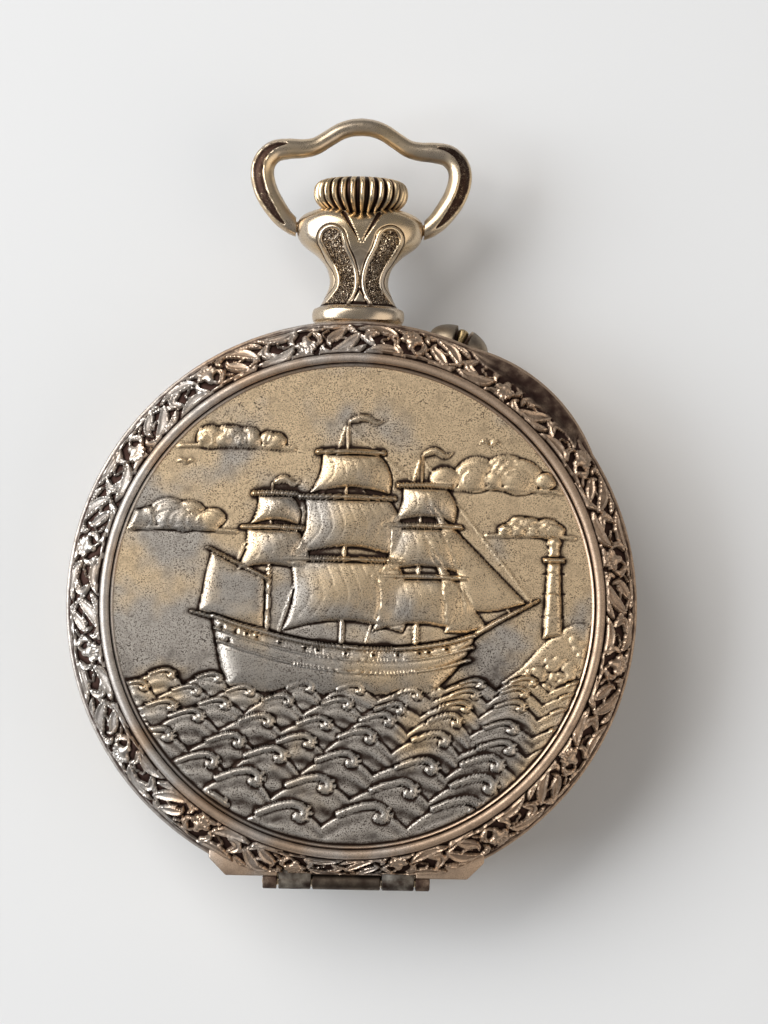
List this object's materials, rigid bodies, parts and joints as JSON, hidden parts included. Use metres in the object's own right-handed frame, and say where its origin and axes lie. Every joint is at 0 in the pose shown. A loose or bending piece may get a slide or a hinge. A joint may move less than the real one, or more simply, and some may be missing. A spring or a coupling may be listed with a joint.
{
  "type": "pocket watch",
  "caption": "Open-face pocket watch with a hinged chased back, waisted pendant, stirrup bow, fluted crown and a working lever movement.",
  "frame": {"origin": "centre of the crystal's flat, which the watch rests on, on the case axis", "axes": "+Z out of the back cover, +Y towards the pendant, +X to the right as the back is seen"},
  "size_m": [0.0508, 0.0692, 0.0134],
  "materials": {
    "nickel_silver": "aged nickel silver, worn bright on the high places and dark in the recesses",
    "nickel_plate": "nickel-plated, fine straight grain",
    "gilt_brass": "gilt, fine grained",
    "polished_steel": "polished steel",
    "blued_steel": "heat-blued steel",
    "enamel": "white vitreous enamel with black numbers",
    "glass": "clear polished crystal"
  },
  "bodies": {
    "case": {"case_middle": "nickel_silver", "pendant": "nickel_silver", "back_hinge_pin": "polished_steel", "bezel_hinge_pin": "polished_steel", "main_plate": "gilt_brass", "barrel_bridge": "nickel_plate", "train_bridge": "nickel_plate", "pallet_bridge": "nickel_plate", "balance_cock": "nickel_plate", "dial": "enamel", "click_spring": "blued_steel"},
    "back_cover": {"back_cover": "nickel_silver"},
    "inner_cover": {"inner_cover": "nickel_silver"},
    "bezel": {"bezel": "nickel_silver", "crystal": "glass"},
    "bow": {"bow": "nickel_silver"},
    "crown": {"crown": "nickel_silver", "stem": "polished_steel", "winding_pinion": "polished_steel"},
    "clutch": {"sliding_clutch": "polished_steel"},
    "setting_pin": {"setting_pin": "gilt_brass"},
    "setting_lever": {"setting_lever": "polished_steel"},
    "crown_wheel": {"crown_wheel": "polished_steel"},
    "ratchet": {"ratchet_wheel": "polished_steel", "barrel_arbor": "polished_steel"},
    "click": {"click": "polished_steel"},
    "barrel": {"barrel": "gilt_brass", "barrel_cover": "gilt_brass", "mainspring": "blued_steel"},
    "center_wheel": {"center_wheel": "gilt_brass", "center_pinion": "polished_steel"},
    "third_wheel": {"third_wheel": "gilt_brass", "third_pinion": "polished_steel"},
    "fourth_wheel": {"fourth_wheel": "gilt_brass", "fourth_pinion": "polished_steel", "seconds_hand": "blued_steel"},
    "escape_wheel": {"escape_wheel": "polished_steel", "escape_pinion": "polished_steel"},
    "pallet_fork": {"pallet_fork": "polished_steel"},
    "balance": {"balance_wheel": "gilt_brass", "balance_staff": "polished_steel", "hairspring": "blued_steel"},
    "regulator": {"regulator": "polished_steel"},
    "minute_hand": {"cannon_pinion": "polished_steel", "minute_hand": "blued_steel"},
    "hour_hand": {"hour_wheel": "gilt_brass", "hour_hand": "blued_steel"},
    "minute_wheel": {"minute_wheel": "gilt_brass"},
    "setting_wheel": {"setting_wheel": "polished_steel"}
  },
  "joints": [
    {"name": "back_cover_hinge", "type": "hinge", "parent": "case", "child": "back_cover", "pos_m": [0, -0.0245, 0.01033], "axis": [1, 0, 0], "range_deg": [0, 100]},
    {"name": "inner_cover_hinge", "type": "hinge", "parent": "case", "child": "inner_cover", "pos_m": [0, -0.0245, 0.01033], "axis": [1, 0, 0], "range_deg": [0, 62.5]},
    {"name": "bezel_hinge", "type": "hinge", "parent": "case", "child": "bezel", "pos_m": [0, -0.0249, 0.00424], "axis": [-1, 0, 0], "range_deg": [0, 100]},
    {"name": "bow_swing", "type": "hinge", "parent": "case", "child": "bow", "pos_m": [0, 0.034, 0.0075], "axis": [1, 0, 0], "range_deg": [-85, 85]},
    {"name": "crown_turn", "type": "hinge", "parent": "case", "child": "crown", "pos_m": [0, 0.0358, 0.0075], "axis": [0, 1, 0], "continuous": true},
    {"name": "clutch_slide", "type": "slide", "parent": "crown", "child": "clutch", "axis": [0, -1, 0], "range_m": [0, 0.0012]},
    {"name": "setting_pin_push", "type": "slide", "parent": "case", "child": "setting_pin", "axis": [-0.3584, -0.9336, 0], "range_m": [0, 0.0006], "stiffness_N_per_m": 150, "springref_m": -0.0003},
    {"name": "setting_lever_turn", "type": "hinge", "parent": "case", "child": "setting_lever", "pos_m": [0.0115, 0.0145, 0.0075], "axis": [0, 0, 1], "range_deg": [0, 7.5]},
    {"name": "crown_wheel_turn", "type": "hinge", "parent": "case", "child": "crown_wheel", "pos_m": [0, 0.0093, 0.0101], "axis": [0, 0, 1], "continuous": true},
    {"name": "ratchet_turn", "type": "hinge", "parent": "case", "child": "ratchet", "pos_m": [-0.00767, 0.00366, 0.0101], "axis": [0, 0, 1], "continuous": true},
    {"name": "click_lift", "type": "hinge", "parent": "case", "child": "click", "pos_m": [-0.01028, 0.01013, 0.0101], "axis": [0, 0, 1], "range_deg": [0, 10], "stiffness_Nm_per_rad": 0.00001, "springref_deg": -5.73},
    {"name": "seconds_turn", "type": "hinge", "parent": "case", "child": "fourth_wheel", "pos_m": [0, -0.0096, 0.0075], "axis": [0, 0, 1], "continuous": true},
    {"name": "third_wheel_turn", "type": "hinge", "parent": "case", "child": "third_wheel", "pos_m": [0.00407, -0.0055, 0.0082], "axis": [0, 0, 1], "continuous": true},
    {"name": "center_wheel_turn", "type": "hinge", "parent": "case", "child": "center_wheel", "pos_m": [0, 0, 0.009], "axis": [0, 0, 1], "continuous": true},
    {"name": "barrel_turn", "type": "hinge", "parent": "case", "child": "barrel", "pos_m": [-0.00767, 0.00366, 0.008], "axis": [0, 0, 1], "continuous": true},
    {"name": "escape_wheel_turn", "type": "hinge", "parent": "case", "child": "escape_wheel", "pos_m": [-0.00465, -0.0079, 0.0082], "axis": [0, 0, 1], "continuous": true},
    {"name": "minute_hand_turn", "type": "hinge", "parent": "case", "child": "minute_hand", "pos_m": [0, 0, 0.002], "axis": [0, 0, 1], "continuous": true},
    {"name": "minute_wheel_turn", "type": "hinge", "parent": "case", "child": "minute_wheel", "pos_m": [0.00348, 0.00331, 0.005], "axis": [0, 0, 1], "continuous": true},
    {"name": "hour_hand_turn", "type": "hinge", "parent": "case", "child": "hour_hand", "pos_m": [0, 0, 0.0026], "axis": [0, 0, 1], "continuous": true},
    {"name": "setting_wheel_turn", "type": "hinge", "parent": "case", "child": "setting_wheel", "pos_m": [0, 0.0077, 0.005], "axis": [0, 0, 1], "continuous": true},
    {"name": "balance_swing", "type": "hinge", "parent": "case", "child": "balance", "pos_m": [-0.01125, -0.00989, 0.009], "axis": [0, 0, 1], "range_deg": [-270, 270], "stiffness_Nm_per_rad": 0.00000075},
    {"name": "pallet_fork_rock", "type": "hinge", "parent": "case", "child": "pallet_fork", "pos_m": [-0.00742, -0.00874, 0.0082], "axis": [0, 0, 1], "range_deg": [-4.6, 4.6]},
    {"name": "regulator_turn", "type": "hinge", "parent": "case", "child": "regulator", "pos_m": [-0.01125, -0.00989, 0.0106], "axis": [0, 0, 1], "range_deg": [-20, 20]}
  ],
  "couplings": [
    {"joint": "inner_cover_hinge", "follows": "back_cover_hinge", "ratio": 0.62},
    {"joint": "crown_wheel_turn", "follows": "crown_turn", "ratio": -0.6},
    {"joint": "ratchet_turn", "follows": "crown_turn", "ratio": 0.47368},
    {"joint": "setting_lever_turn", "follows": "setting_pin_push", "rad_per_m": 198},
    {"joint": "clutch_slide", "follows": "setting_pin_push", "ratio": 1.95},
    {"joint": "third_wheel_turn", "follows": "seconds_turn", "ratio": -0.13333},
    {"joint": "center_wheel_turn", "follows": "seconds_turn", "ratio": 0.016667},
    {"joint": "barrel_turn", "follows": "seconds_turn", "ratio": -0.0022222},
    {"joint": "escape_wheel_turn", "follows": "seconds_turn", "ratio": -10},
    {"joint": "minute_hand_turn", "follows": "seconds_turn", "ratio": 0.016667},
    {"joint": "minute_wheel_turn", "follows": "seconds_turn", "ratio": -0.0055556},
    {"joint": "hour_hand_turn", "follows": "seconds_turn", "ratio": 0.0013889},
    {"joint": "setting_wheel_turn", "follows": "seconds_turn", "ratio": 0.01},
    {"joint": "pallet_fork_rock", "follows": "balance_swing", "ratio": 0.016667}
  ]
}
